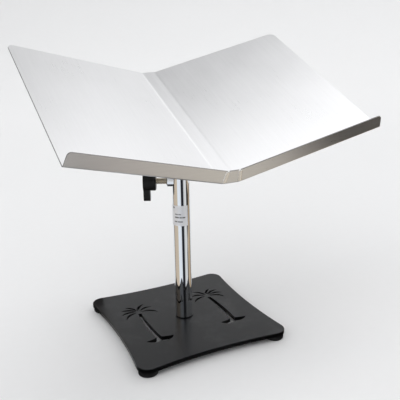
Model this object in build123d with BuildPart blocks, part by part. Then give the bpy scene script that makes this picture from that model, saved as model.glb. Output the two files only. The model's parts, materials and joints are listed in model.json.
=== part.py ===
"""Tabletop music stand: square steel foot, telescoping post, tilting bent-sheet tray.

Frame: the origin is on the post's axis, on the surface that the stand rests on.
+Z is up, -Y faces the reader and +X is the reader's right.
"""
from build123d import *
from math import cos, radians, sin
import os

os.makedirs("parts", exist_ok=True)

# ---------------------------------------------------------------- driving dimensions (mm, degrees)
# Foot
plate_side = 200.0
plate_thickness = 5.0
plate_corner_radius = 14.0
side_sag = 8.0
plate_edge_break = 0.5
foot_diameter = 23.0
foot_height = 7.0
foot_edge_radius = 1.2
foot_inset = 15.5
adhesive_thickness = 0.4
adhesive_margin = 1.5

# Palm-tree cut-outs in the foot plate
palm_inset = 49.0
crown_y = 34.0
crown_hub_radius = 3.2
frond_width = 3.3
frond_droop = 0.16
frond_angles = (-24.0, 8.0, 36.0, 63.0, 120.0, 155.0, 196.0)
frond_reaches = (24.0, 23.0, 23.0, 21.5, 22.5, 22.5, 26.0)
trunk_gap = 5.0
trunk_top_width = 4.2
trunk_bottom_width = 6.6
trunk_bow = 1.8
mound_y = -40.5
mound_width = 36.0
mound_rise = 4.0
mound_drop = 7.0
mound_notch = 4.5

# Post: a chromed lower tube bolted to the plate, and an inner tube that slides and turns in it
lower_tube_diameter = 22.0
lower_tube_wall = 1.5
lower_tube_length = 197.0
inner_tube_wall = 1.5
tube_in_sight = 23.0
bush_stop_gap = 1.0
tube_edge_break = 0.3
fixed_fit = 0.02
running_fit = 0.05

plug_length = 15.0
post_bolt_diameter = 8.0
post_bolt_end_gap = 1.0
post_bolt_floor_gap = 1.0
post_bolt_head_diameter = 14.0
post_bolt_socket = 5.0
post_bolt_socket_depth = 2.6
post_washer_diameter = 20.0
post_washer_thickness = 1.6

collar_wall = 1.43
collar_lip = 1.5
collar_flange_height = 4.0
collar_depth = 9.0
bush_height = 20.0
bush_spigot_length = 12.0
bush_spigot_bore = 6.0

label_drop = 29.0
label_height = 26.0
label_thickness = 0.12
label_middle_angle = 205.0
label_sweep = 166.0

# Clamp screw for the height, set behind the left side so that it clears the reader's hands
clamp_below_collar = 6.0
clamp_angle = 154.0
boss_diameter = 14.0
boss_length = 6.0
clamp_screw_diameter = 8.0
screw_in_sight = 13.0
screw_in_knob = 11.5
pad_diameter = 7.4
pad_length = 5.6
pad_gap = 0.1
knob_hub_diameter = 23.0
knob_hub_length = 15.5
wing_thickness = 8.0
wing_span = 50.0
wing_width = 13.0
knob_edge_radius = 1.5

# Tilt head
fork_lip = 2.0
fork_flat_cut = 1.0
fork_shoulder_height = 4.0
fork_spigot_length = 25.0
fork_cheek = 3.9
fork_web = 7.5
fork_pin_diameter = 4.0
fork_pin_drop = 12.0
fork_pin_recess = 0.5
slot_floor_gap = 2.0
tongue_thickness = 8.0
tongue_radius = 9.0
tongue_root = 12.0
friction_washer_thickness = 1.0
friction_washer_diameter = 15.0
side_play = 0.1
tilt_bolt_diameter = 6.0
tilt_bolt_head_diameter = 10.0
tilt_bolt_head_height = 6.0
tilt_bolt_socket = 5.0
tilt_bolt_tail = 1.5
tilt_washer_diameter = 12.0
tilt_washer_thickness = 1.6
tilt_nut_across_flats = 10.0
tilt_nut_height = 6.0

# Tray
tray_tilt = 22.7
wing_rise = 15.9
sheet_thickness = 1.2
spine_width = 18.6
wing_length = 173.0
tray_depth = 239.0
lip_height = 16.7
lip_bend_radius = 1.2
seam_gap = 0.4
top_corner_radius = 9.0
lip_corner_radius = 4.0
hinge_from_lip = 131.0
head_swing_gap = 2.5
bracket_thickness = 3.0
bracket_side_margin = 1.3
bracket_end_margin = 10.0
bracket_corner_radius = 4.0
stud_diameter = 4.0
stud_from_tongue = 14.0
stud_pitch = 20.0
stud_tail = 1.5
stud_washer_diameter = 9.0
stud_washer_thickness = 0.8
stud_nut_across_flats = 7.0
stud_nut_height = 3.2

# ---------------------------------------------------------------- sizes that follow from them
plate_bottom = foot_height
plate_top = plate_bottom + plate_thickness
foot_centre = plate_side / 2 - foot_inset
palm_offset = plate_side / 2 - palm_inset
lower_tube_radius = lower_tube_diameter / 2
lower_tube_bore = lower_tube_radius - lower_tube_wall
lower_tube_top = plate_top + lower_tube_length
post_bolt_head_height = foot_height - post_washer_thickness - post_bolt_floor_gap
post_bolt_reach = plug_length - post_bolt_end_gap
collar_flange_radius = lower_tube_radius + collar_lip

inner_tube_radius = lower_tube_bore - fixed_fit - collar_wall - running_fit
inner_tube_bore = inner_tube_radius - inner_tube_wall
inner_tube_top = lower_tube_top + collar_flange_height + tube_in_sight
bush_bottom = plate_top + plug_length + bush_stop_gap
inner_tube_foot = bush_bottom + bush_height

clamp_height = lower_tube_top - collar_depth - clamp_below_collar
label_bottom = clamp_height - label_drop - label_height
boss_end = lower_tube_radius + boss_length
pad_start = inner_tube_radius + pad_gap
screw_start = pad_start + pad_length
knob_hub_start = boss_end + screw_in_sight
clamp_screw_end = knob_hub_start + screw_in_knob

slot_half_width = tongue_thickness / 2 + friction_washer_thickness + side_play
fork_flat_width = 2 * (slot_half_width + fork_cheek)
fork_radius = max(inner_tube_radius + fork_lip, fork_flat_width / 2 + fork_flat_cut)
fork_slot_floor = tongue_radius + slot_floor_gap
pivot_height = inner_tube_top + fork_shoulder_height + fork_web + fork_slot_floor
bracket_standoff = fork_radius + head_swing_gap
bracket_width = spine_width - 2 * bracket_side_margin
stud_inner_offset = tongue_root + stud_from_tongue
stud_outer_offset = stud_inner_offset + stud_pitch
bracket_length = 2 * (stud_outer_offset + bracket_end_margin)
sheet_back = bracket_standoff + bracket_thickness

clamp_axis = Vector(cos(radians(clamp_angle)), sin(radians(clamp_angle)), 0)
tray_up = Vector(0, cos(radians(tray_tilt)), sin(radians(tray_tilt)))
tray_normal = Vector(0, -sin(radians(tray_tilt)), cos(radians(tray_tilt)))
tray_plane = Plane(origin=(0, 0, pivot_height), x_dir=(1, 0, 0), z_dir=tray_normal)


def clamp_plane(distance):
    """The plane across the clamp screw, this far from the post's axis, with local Y upwards."""
    along = clamp_axis.cross(Vector(0, 0, 1)) * -1
    origin = clamp_axis * distance + Vector(0, 0, clamp_height)
    return Plane(origin=origin, x_dir=along, z_dir=clamp_axis)


def pivot_plane(x):
    """The plane across the tilt bolt at this X, centred on the bolt."""
    return Plane(origin=(x, 0, pivot_height), x_dir=(0, 1, 0), z_dir=(1, 0, 0))


def save(builder, name):
    """Label a finished piece and write it under its own name."""
    builder.part.label = name
    export_step(builder.part, f"parts/{name}.step")


def ring(outer_radius, inner_radius, height, plane):
    """A builder holding a flat ring of this height standing on a plane."""
    with BuildPart() as piece:
        with BuildSketch(plane):
            Circle(outer_radius)
            Circle(inner_radius, mode=Mode.SUBTRACT)
        extrude(amount=height)
    return piece


# ---------------------------------------------------------------- foot plate with two palm trees
def plate_outline():
    """A square whose four sides bow inwards and whose corners are rounded."""
    half = plate_side / 2
    with BuildSketch() as outline:
        with BuildLine():
            ThreePointArc((-half, -half), (0, side_sag - half), (half, -half))
            ThreePointArc((half, -half), (half - side_sag, 0), (half, half))
            ThreePointArc((half, half), (0, half - side_sag), (-half, half))
            ThreePointArc((-half, half), (side_sag - half, 0), (-half, -half))
        make_face()
        fillet(outline.vertices(), radius=plate_corner_radius)
    return outline.sketch


def frond(angle, reach):
    """One leaf: a slim curved blade that leaves the crown at an angle and droops at its tip."""
    turn = 1 if cos(radians(angle)) > 0 else -1
    out = Vector(cos(radians(angle)), sin(radians(angle)))
    side = Vector(-out.Y, out.X) * turn
    start = out * crown_hub_radius
    tip = out * reach - side * (reach * frond_droop)
    middle = (start + tip) * 0.5 + side * (reach * frond_droop)
    with BuildSketch() as leaf:
        with BuildLine():
            ThreePointArc(start, middle + side * (frond_width / 2), tip)
            ThreePointArc(tip, middle - side * (frond_width / 2), start)
        make_face()
    return leaf.sketch


def trunk():
    """The stem, bowed to one side and wider at the ground."""
    top = -trunk_gap
    bottom = mound_y - crown_y
    middle = (top + bottom) / 2
    middle_width = (trunk_top_width + trunk_bottom_width) / 2
    with BuildSketch() as stem:
        with BuildLine():
            Line((trunk_top_width / 2, top), (-trunk_top_width / 2, top))
            ThreePointArc(
                (-trunk_top_width / 2, top),
                (trunk_bow - middle_width / 2, middle),
                (-trunk_bottom_width / 2, bottom),
            )
            Line((-trunk_bottom_width / 2, bottom), (trunk_bottom_width / 2, bottom))
            ThreePointArc(
                (trunk_bottom_width / 2, bottom),
                (trunk_bow + middle_width / 2, middle),
                (trunk_top_width / 2, top),
            )
        make_face()
    return stem.sketch


def mound():
    """The ground under the tree: two pointed lobes that meet at the stem."""
    base = mound_y - crown_y
    tip = mound_width / 2
    with BuildSketch() as ground:
        with BuildLine():
            ThreePointArc((-tip, base), (-tip / 2, base + mound_rise * 0.35), (0, base + mound_rise))
            ThreePointArc((0, base + mound_rise), (tip / 2, base + mound_rise * 0.35), (tip, base))
            ThreePointArc((tip, base), (tip / 2, base - mound_drop * 0.8), (0, base - mound_notch))
            ThreePointArc((0, base - mound_notch), (-tip / 2, base - mound_drop), (-tip, base))
        make_face()
    return ground.sketch


def palm():
    """One whole tree, drawn about the middle of its crown."""
    leaves = [frond(angle, reach) for angle, reach in zip(frond_angles, frond_reaches)]
    stem_and_ground = [trunk(), mound()]
    with BuildSketch() as tree:
        add(leaves + stem_and_ground)
    return tree.sketch


outline = plate_outline()
right_palm = palm()
with BuildPart() as base_plate:
    with BuildSketch(Plane.XY.offset(plate_bottom)):
        add(outline)
    extrude(amount=plate_thickness)
    chamfer(base_plate.edges().group_by(Axis.Z)[-1], length=plate_edge_break)
    with BuildSketch(Plane.XY.offset(plate_bottom)):
        with Locations((palm_offset, crown_y)):
            add(right_palm)
        mirror(about=Plane.YZ)
        Circle(post_bolt_diameter / 2 + running_fit)
    extrude(amount=plate_thickness, mode=Mode.SUBTRACT)
save(base_plate, "base_plate")

foot_places = {
    "foot_front_left": (-foot_centre, -foot_centre),
    "foot_front_right": (foot_centre, -foot_centre),
    "foot_rear_left": (-foot_centre, foot_centre),
    "foot_rear_right": (foot_centre, foot_centre),
}
for foot_name, (foot_x, foot_y) in foot_places.items():
    with BuildPart() as foot:
        with BuildSketch(Plane((foot_x, foot_y, 0))):
            Circle(foot_diameter / 2)
        extrude(amount=foot_height - adhesive_thickness)
        fillet(foot.edges().group_by(Axis.Z)[0], radius=foot_edge_radius)
    save(foot, foot_name)

with BuildPart() as foot_adhesives:
    with BuildSketch(Plane.XY.offset(foot_height - adhesive_thickness)):
        with Locations(*foot_places.values()):
            Circle(foot_diameter / 2 - adhesive_margin)
    extrude(amount=adhesive_thickness)
save(foot_adhesives, "foot_adhesives")

# ---------------------------------------------------------------- post bolt, plug and lower tube
washer_bottom = plate_bottom - post_washer_thickness
bolt_head_bottom = washer_bottom - post_bolt_head_height

with BuildPart() as post_bolt:
    with BuildSketch(Plane.XY.offset(bolt_head_bottom)):
        Circle(post_bolt_head_diameter / 2)
    extrude(amount=post_bolt_head_height)
    fillet(post_bolt.edges().group_by(Axis.Z)[0], radius=post_bolt_head_height * 0.6)
    with BuildSketch(Plane.XY.offset(washer_bottom)):
        Circle(post_bolt_diameter / 2)
    extrude(amount=plate_top + post_bolt_reach - washer_bottom)
    chamfer(post_bolt.edges().group_by(Axis.Z)[-1], length=0.8)
    with BuildSketch(Plane.XY.offset(bolt_head_bottom)):
        RegularPolygon(post_bolt_socket / 2, 6, major_radius=False)
    extrude(amount=post_bolt_socket_depth, mode=Mode.SUBTRACT)
save(post_bolt, "post_bolt")

bolt_clearance_radius = post_bolt_diameter / 2 + running_fit
post_washer = ring(
    post_washer_diameter / 2, bolt_clearance_radius, post_washer_thickness, Plane.XY.offset(washer_bottom)
)
save(post_washer, "post_washer")

plug_thread_radius = post_bolt_diameter / 2 + fixed_fit
tube_plug = ring(lower_tube_bore - fixed_fit, plug_thread_radius, plug_length, Plane.XY.offset(plate_top))
save(tube_plug, "tube_plug")

with BuildPart() as lower_tube:
    with BuildSketch(Plane.XY.offset(plate_top)):
        Circle(lower_tube_radius)
        Circle(lower_tube_bore, mode=Mode.SUBTRACT)
    extrude(amount=lower_tube_length)
    chamfer(lower_tube.edges().group_by(Axis.Z)[0].sort_by(SortBy.RADIUS)[-1], length=tube_edge_break)
    with BuildSketch(clamp_plane(0)):
        Circle(clamp_screw_diameter / 2 + running_fit)
    extrude(amount=lower_tube_diameter, mode=Mode.SUBTRACT)
save(lower_tube, "lower_tube")

with BuildPart() as guide_collar:
    with BuildSketch(Plane.XY.offset(lower_tube_top)):
        Circle(collar_flange_radius)
    extrude(amount=collar_flange_height)
    fillet(guide_collar.edges().group_by(Axis.Z)[-1], radius=1.0)
    with BuildSketch(Plane.XY.offset(lower_tube_top)):
        Circle(lower_tube_bore - fixed_fit)
    extrude(amount=-collar_depth)
    with BuildSketch(Plane.XY.offset(lower_tube_top - collar_depth)):
        Circle(inner_tube_radius + running_fit)
    extrude(amount=collar_depth + collar_flange_height, mode=Mode.SUBTRACT)
save(guide_collar, "guide_collar")

label_inner = lower_tube_radius + fixed_fit
label_outer = label_inner + label_thickness
label_start = label_middle_angle - label_sweep / 2
with BuildPart() as tube_label:
    with BuildSketch(Plane.XY.offset(label_bottom)):
        with BuildLine():
            inner_arc = CenterArc((0, 0), label_inner, label_start, label_sweep)
            outer_arc = CenterArc((0, 0), label_outer, label_start, label_sweep)
            Line(inner_arc @ 0, outer_arc @ 0)
            Line(inner_arc @ 1, outer_arc @ 1)
        make_face()
    extrude(amount=label_height)
save(tube_label, "tube_label")

# ---------------------------------------------------------------- height clamp
with BuildPart() as clamp_boss:
    with BuildSketch(clamp_plane(0)):
        Circle(boss_diameter / 2)
    extrude(amount=boss_end)
    chamfer(clamp_boss.faces().sort_by(Axis((0, 0, 0), clamp_axis))[-1].edges(), length=0.8)
    with BuildSketch(Plane.XY.offset(clamp_height - boss_diameter)):
        Circle(lower_tube_radius + fixed_fit)
    extrude(amount=2 * boss_diameter, mode=Mode.SUBTRACT)
    with BuildSketch(clamp_plane(0)):
        Circle(clamp_screw_diameter / 2 + running_fit)
    extrude(amount=boss_end, mode=Mode.SUBTRACT)
save(clamp_boss, "clamp_boss")

with BuildPart() as clamp_pad:
    with BuildSketch(clamp_plane(pad_start)):
        Circle(pad_diameter / 2)
    extrude(amount=pad_length)
save(clamp_pad, "clamp_pad")

with BuildPart() as clamp_screw:
    with BuildSketch(clamp_plane(screw_start)):
        Circle(clamp_screw_diameter / 2)
    extrude(amount=clamp_screw_end - screw_start)
    chamfer(clamp_screw.faces().sort_by(Axis((0, 0, 0), clamp_axis))[0].edges(), length=0.6)
save(clamp_screw, "clamp_screw")

with BuildPart() as clamp_knob:
    with BuildSketch(clamp_plane(knob_hub_start)):
        Circle(knob_hub_diameter / 2)
    extrude(amount=knob_hub_length)
    with BuildSketch(clamp_plane(knob_hub_start + knob_hub_length - wing_thickness)):
        SlotOverall(wing_span, wing_width, rotation=90)
    extrude(amount=wing_thickness)
    fillet(clamp_knob.edges().filter_by(GeomType.CIRCLE).group_by(SortBy.LENGTH)[-1], radius=knob_edge_radius)
    with BuildSketch(clamp_plane(knob_hub_start)):
        Circle(clamp_screw_diameter / 2 + fixed_fit)
    extrude(amount=clamp_screw_end - knob_hub_start, mode=Mode.SUBTRACT)
save(clamp_knob, "clamp_knob")

# ---------------------------------------------------------------- inner tube and its sliding bush
with BuildPart() as slide_bush:
    with BuildSketch(Plane.XY.offset(bush_bottom)):
        Circle(lower_tube_bore - running_fit)
    extrude(amount=bush_height)
    chamfer(slide_bush.edges().group_by(Axis.Z)[0], length=1.0)
    with BuildSketch(Plane.XY.offset(inner_tube_foot)):
        Circle(inner_tube_bore - running_fit)
    extrude(amount=bush_spigot_length)
    with BuildSketch(Plane.XY.offset(bush_bottom)):
        Circle(bush_spigot_bore / 2)
    extrude(amount=bush_height + bush_spigot_length, mode=Mode.SUBTRACT)
save(slide_bush, "slide_bush")

with BuildPart() as inner_tube:
    with BuildSketch(Plane.XY.offset(inner_tube_foot)):
        Circle(inner_tube_radius)
        Circle(inner_tube_bore, mode=Mode.SUBTRACT)
    extrude(amount=inner_tube_top - inner_tube_foot)
    with BuildSketch(Plane.XZ):
        with Locations((0, inner_tube_top - fork_pin_drop)):
            Circle(fork_pin_diameter / 2 + fixed_fit)
    extrude(amount=2 * inner_tube_radius, both=True, mode=Mode.SUBTRACT)
save(inner_tube, "inner_tube")

# ---------------------------------------------------------------- tilt head
fork_top = pivot_height + fork_radius
with BuildPart() as tilt_fork:
    with BuildSketch(Plane.XY.offset(inner_tube_top)):
        Circle(fork_radius)
    extrude(amount=fork_top - inner_tube_top)
    with BuildSketch(pivot_plane(0)):
        Circle(fork_radius)
        Rectangle(2 * fork_radius, pivot_height - inner_tube_top, align=(Align.CENTER, Align.MAX))
    extrude(amount=2 * fork_radius, both=True, mode=Mode.INTERSECT)
    with BuildSketch(Plane.XY.offset(inner_tube_top + fork_shoulder_height)):
        Circle(2 * fork_radius)
        Rectangle(fork_flat_width, 4 * fork_radius, mode=Mode.SUBTRACT)
    extrude(amount=fork_top, mode=Mode.SUBTRACT)
    with BuildSketch(Plane.XY.offset(pivot_height - fork_slot_floor)):
        Rectangle(2 * slot_half_width, 4 * fork_radius)
    extrude(amount=fork_top, mode=Mode.SUBTRACT)
    with BuildSketch(Plane.XY.offset(inner_tube_top)):
        Circle(inner_tube_bore - fixed_fit)
    extrude(amount=-fork_spigot_length)
    with BuildSketch(pivot_plane(0)):
        Circle(tilt_bolt_diameter / 2 + fixed_fit)
    extrude(amount=2 * fork_radius, both=True, mode=Mode.SUBTRACT)
    with BuildSketch(Plane.XZ):
        with Locations((0, inner_tube_top - fork_pin_drop)):
            Circle(fork_pin_diameter / 2 + fixed_fit)
    extrude(amount=2 * fork_radius, both=True, mode=Mode.SUBTRACT)
save(tilt_fork, "tilt_fork")

with BuildPart() as fork_pin:
    with BuildSketch(Plane.XZ):
        with Locations((0, inner_tube_top - fork_pin_drop)):
            Circle(fork_pin_diameter / 2)
            Circle(fork_pin_diameter / 4, mode=Mode.SUBTRACT)
    extrude(amount=inner_tube_radius - fork_pin_recess, both=True)
save(fork_pin, "fork_pin")

flat = fork_flat_width / 2
with BuildPart() as tilt_bolt:
    with BuildSketch(pivot_plane(-flat - tilt_washer_thickness)):
        Circle(tilt_bolt_head_diameter / 2)
    extrude(amount=-tilt_bolt_head_height)
    chamfer(tilt_bolt.edges().group_by(Axis.X)[0], length=0.6)
    with BuildSketch(pivot_plane(-flat - tilt_washer_thickness)):
        Circle(tilt_bolt_diameter / 2)
    extrude(amount=fork_flat_width + 2 * tilt_washer_thickness + tilt_nut_height + tilt_bolt_tail)
    with BuildSketch(pivot_plane(-flat - tilt_washer_thickness - tilt_bolt_head_height)):
        RegularPolygon(tilt_bolt_socket / 2, 6, major_radius=False)
    extrude(amount=tilt_bolt_head_height / 2, mode=Mode.SUBTRACT)
save(tilt_bolt, "tilt_bolt")

with BuildPart() as tilt_washers:
    with BuildSketch(pivot_plane(-flat - tilt_washer_thickness), pivot_plane(flat)):
        Circle(tilt_washer_diameter / 2)
        Circle(tilt_bolt_diameter / 2 + fixed_fit, mode=Mode.SUBTRACT)
    extrude(amount=tilt_washer_thickness)
save(tilt_washers, "tilt_washers")

with BuildPart() as tilt_nut:
    with BuildSketch(pivot_plane(flat + tilt_washer_thickness)):
        RegularPolygon(tilt_nut_across_flats / 2, 6, major_radius=False)
        Circle(tilt_bolt_diameter / 2 + fixed_fit, mode=Mode.SUBTRACT)
    extrude(amount=tilt_nut_height)
save(tilt_nut, "tilt_nut")

half_tongue = tongue_thickness / 2
with BuildPart() as friction_washers:
    with BuildSketch(pivot_plane(-half_tongue - friction_washer_thickness), pivot_plane(half_tongue)):
        Circle(friction_washer_diameter / 2)
        Circle(tilt_bolt_diameter / 2 + fixed_fit, mode=Mode.SUBTRACT)
    extrude(amount=friction_washer_thickness)
save(friction_washers, "friction_washers")

# ---------------------------------------------------------------- tray bracket and its fixings
stud_offsets = (-stud_outer_offset, -stud_inner_offset, stud_inner_offset, stud_outer_offset)
tongue_start = (-tongue_thickness / 2, 0, pivot_height)
tongue_side = Plane(origin=tongue_start, x_dir=tray_up, z_dir=(1, 0, 0))
with BuildPart() as tray_bracket:
    with BuildSketch(tray_plane.offset(bracket_standoff)):
        RectangleRounded(bracket_width, bracket_length, bracket_corner_radius)
        with Locations(*[(0, offset) for offset in stud_offsets]):
            Circle(stud_diameter / 2 + running_fit, mode=Mode.SUBTRACT)
    extrude(amount=bracket_thickness)
    with BuildSketch(tongue_side):
        with BuildLine():
            Polyline(
                (-tongue_root, bracket_standoff),
                (-tongue_radius, 0),
                (tongue_radius, 0),
                (tongue_root, bracket_standoff),
                close=True,
            )
        make_face()
        Circle(tongue_radius)
        Circle(tilt_bolt_diameter / 2 + running_fit, mode=Mode.SUBTRACT)
    extrude(amount=tongue_thickness)
save(tray_bracket, "tray_bracket")

stud_length = bracket_thickness + stud_washer_thickness + stud_nut_height + stud_tail
with BuildPart() as tray_studs:
    with BuildSketch(tray_plane.offset(sheet_back)):
        with Locations(*[(0, offset) for offset in stud_offsets]):
            Circle(stud_diameter / 2)
    extrude(amount=-stud_length)
save(tray_studs, "tray_studs")

with BuildPart() as stud_washers:
    with BuildSketch(tray_plane.offset(bracket_standoff)):
        with Locations(*[(0, offset) for offset in stud_offsets]):
            Circle(stud_washer_diameter / 2)
            Circle(stud_diameter / 2 + fixed_fit, mode=Mode.SUBTRACT)
    extrude(amount=-stud_washer_thickness)
save(stud_washers, "stud_washers")

with BuildPart() as stud_nuts:
    with BuildSketch(tray_plane.offset(bracket_standoff - stud_washer_thickness)):
        with Locations(*[(0, offset) for offset in stud_offsets]):
            RegularPolygon(stud_nut_across_flats / 2, 6, major_radius=False)
            Circle(stud_diameter / 2 + fixed_fit, mode=Mode.SUBTRACT)
    extrude(amount=-stud_nut_height)
save(stud_nuts, "stud_nuts")


# ---------------------------------------------------------------- tray: one bent sheet
right = Vector(1, 0, 0)
wing_out = right * cos(radians(wing_rise)) + tray_normal * sin(radians(wing_rise))
wing_normal = tray_normal * cos(radians(wing_rise)) - right * sin(radians(wing_rise))
mitre_out = right * cos(radians(wing_rise / 2)) + tray_normal * sin(radians(wing_rise / 2))
spine_start = tray_plane.from_local_coords((0, -hinge_from_lip, sheet_back))
bend_start = tray_plane.from_local_coords((spine_width / 2, -hinge_from_lip, sheet_back))
spine_plane = Plane(origin=spine_start, x_dir=tray_up, z_dir=right)
wing_plane = Plane(origin=bend_start, x_dir=tray_up, z_dir=wing_out)
mitre_plane = Plane(origin=bend_start, x_dir=tray_up, z_dir=mitre_out)
up_axis = Axis((0, 0, 0), tray_up)
wing_normal_axis = Axis((0, 0, 0), wing_normal)
wing_out_axis = Axis((0, 0, 0), wing_out)


def sheet_section():
    """The sheet seen from its side: a long flat with a short lip turned up at its lower edge."""
    with BuildSketch() as section:
        with BuildLine():
            Polyline(
                (0, 0),
                (tray_depth, 0),
                (tray_depth, sheet_thickness),
                (sheet_thickness, sheet_thickness),
                (sheet_thickness, lip_height),
                (0, lip_height),
                close=True,
            )
        make_face()
        corners = section.vertices()
        outer_corner = corners.sort_by_distance((0, 0))[0]
        inner_corner = corners.sort_by_distance((sheet_thickness, sheet_thickness))[0]
        fillet(outer_corner, radius=lip_bend_radius + sheet_thickness)
        fillet(inner_corner, radius=lip_bend_radius)
    return section.sketch


section = sheet_section()
with BuildPart() as spine_half:
    with BuildSketch(spine_plane):
        add(section)
    extrude(amount=spine_width)
    split(bisect_by=mitre_plane, keep=Keep.BOTTOM)

with BuildPart() as right_wing:
    with BuildSketch(wing_plane.offset(-lip_height)):
        add(section)
    extrude(amount=lip_height + wing_length)
    split(bisect_by=mitre_plane, keep=Keep.TOP)
    top_corner = right_wing.edges().filter_by(wing_normal_axis).sort_by(up_axis)[-1]
    fillet(top_corner, radius=top_corner_radius)
    lip_corners = right_wing.edges().filter_by(up_axis).group_by(wing_normal_axis)[-1]
    fillet(lip_corners.sort_by(wing_out_axis)[-1], radius=lip_corner_radius)

seam_foot = sheet_thickness + lip_bend_radius
with BuildPart() as tray_sheet:
    add(spine_half.part)
    add(right_wing.part)
    with BuildSketch(mitre_plane.offset(-seam_gap / 2)):
        with Locations((0, seam_foot)):
            Rectangle(4 * seam_foot, lip_height, align=(Align.CENTER, Align.MIN))
    extrude(amount=seam_gap, mode=Mode.SUBTRACT)
    mirror(about=Plane.YZ)
save(tray_sheet, "tray_sheet")
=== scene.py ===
# %% [markdown]
# # A tabletop music stand
#
# The stand is a steel foot plate, a chromed telescoping post and a folded tray of brushed
# stainless steel. Its solid pieces come finished in shape from a packed CAD model. This
# lesson adds what the CAD leaves plain: the rolled folds of the tray, its welded corners,
# the screw threads, and above all how each surface looks. We load the model first.

# %% Load the frame
import json

import bmesh
import bpy
import numpy as np
from mathutils import Matrix, Vector


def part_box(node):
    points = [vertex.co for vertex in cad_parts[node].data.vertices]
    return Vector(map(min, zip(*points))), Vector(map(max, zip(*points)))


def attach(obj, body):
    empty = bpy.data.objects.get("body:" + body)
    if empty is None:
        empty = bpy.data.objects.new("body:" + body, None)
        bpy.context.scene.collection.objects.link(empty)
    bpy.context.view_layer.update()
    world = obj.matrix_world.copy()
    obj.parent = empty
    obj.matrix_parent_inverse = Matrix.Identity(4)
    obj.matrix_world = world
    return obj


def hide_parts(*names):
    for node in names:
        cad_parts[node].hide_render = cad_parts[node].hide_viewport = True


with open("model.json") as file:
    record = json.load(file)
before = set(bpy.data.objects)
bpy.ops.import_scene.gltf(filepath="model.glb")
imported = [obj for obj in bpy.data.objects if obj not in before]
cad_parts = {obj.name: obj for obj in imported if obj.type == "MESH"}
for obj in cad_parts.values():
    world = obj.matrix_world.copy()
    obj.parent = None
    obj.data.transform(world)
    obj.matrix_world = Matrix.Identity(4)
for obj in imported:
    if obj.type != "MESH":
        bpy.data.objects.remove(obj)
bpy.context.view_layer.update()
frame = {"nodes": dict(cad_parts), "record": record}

MM = 0.001
joints = {j["name"]: j for j in frame["record"]["behaviour"]["joints"]}
print("joints:", sorted(joints))
print("nodes:", len(frame["nodes"]))

# %% [markdown]
# ## Camera
#
# The stand is seen from the reader's left, a little above the tray. A real camera is never
# quite level, so this one leans by about a degree. We build its turn from three plain
# angles: the heading, how far it looks down, and the lean.

# %% Place the camera
CAMERA_AT = Vector((-0.29118, -0.64943, 0.39728))
HEADING, LOOK_DOWN, LEAN = np.radians([26.01, 17.8, -0.94])
LENS = 54.67
SENSOR = 36.0


def camera_turn(heading, look_down, lean):
    """Rotation whose columns are the camera's right, up and backward directions."""
    ahead = Vector((np.sin(heading) * np.cos(look_down), np.cos(heading) * np.cos(look_down),
                    -np.sin(look_down)))
    level = Vector((np.cos(heading), -np.sin(heading), 0.0))
    top = level.cross(ahead)
    right = level * np.cos(lean) + top * np.sin(lean)
    up = top * np.cos(lean) - level * np.sin(lean)
    return Matrix((right, up, -ahead)).transposed().to_4x4()


lens = bpy.data.cameras.new("camera")
lens.lens = LENS
lens.sensor_width = SENSOR
lens.clip_start = 0.01
camera = bpy.data.objects.new("camera", lens)
camera.matrix_world = Matrix.Translation(CAMERA_AT) @ camera_turn(HEADING, LOOK_DOWN, LEAN)
bpy.context.scene.collection.objects.link(camera)
bpy.context.scene.camera = camera
bpy.context.scene.view_settings.view_transform = "Standard"
print("camera at", [round(c, 3) for c in CAMERA_AT])

# %% [markdown]
# ## Turning arrays into a mesh
#
# Every new piece is a surface of two parameters, worked out on a whole grid at once. A grid
# of rows and columns of points becomes four-sided faces by joining each point to its
# neighbours. Several grids that share an edge are welded into one closed shell, whose faces
# are then all turned outwards.

# %% Faces between the points of a grid
def quads(rows, columns, first):
    """Corner numbers of the faces between neighbouring points of a grid."""
    number = first + np.arange(rows * columns).reshape(rows, columns)
    corners = (number[:-1, :-1], number[:-1, 1:], number[1:, 1:], number[1:, :-1])
    return np.stack(corners, axis=-1).reshape(-1, 4)


print("faces of a grid of 2 rows and 3 columns:", quads(2, 3, 0).tolist())

# %% [markdown]
# The grids of one piece meet along shared lines of points. Joining the doubled points there
# closes the skin, and an edge is kept sharp only where its two faces differ by more than
# the piece's crease angle. The sheet's sheared edges are rougher than its faces and painted
# a darker grey as painted shade, so their faces are marked in an attribute that the steel can read.

# %% A shell from grids of points
SAME_POINT = 2e-6
CREASE = np.radians(28)


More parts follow.
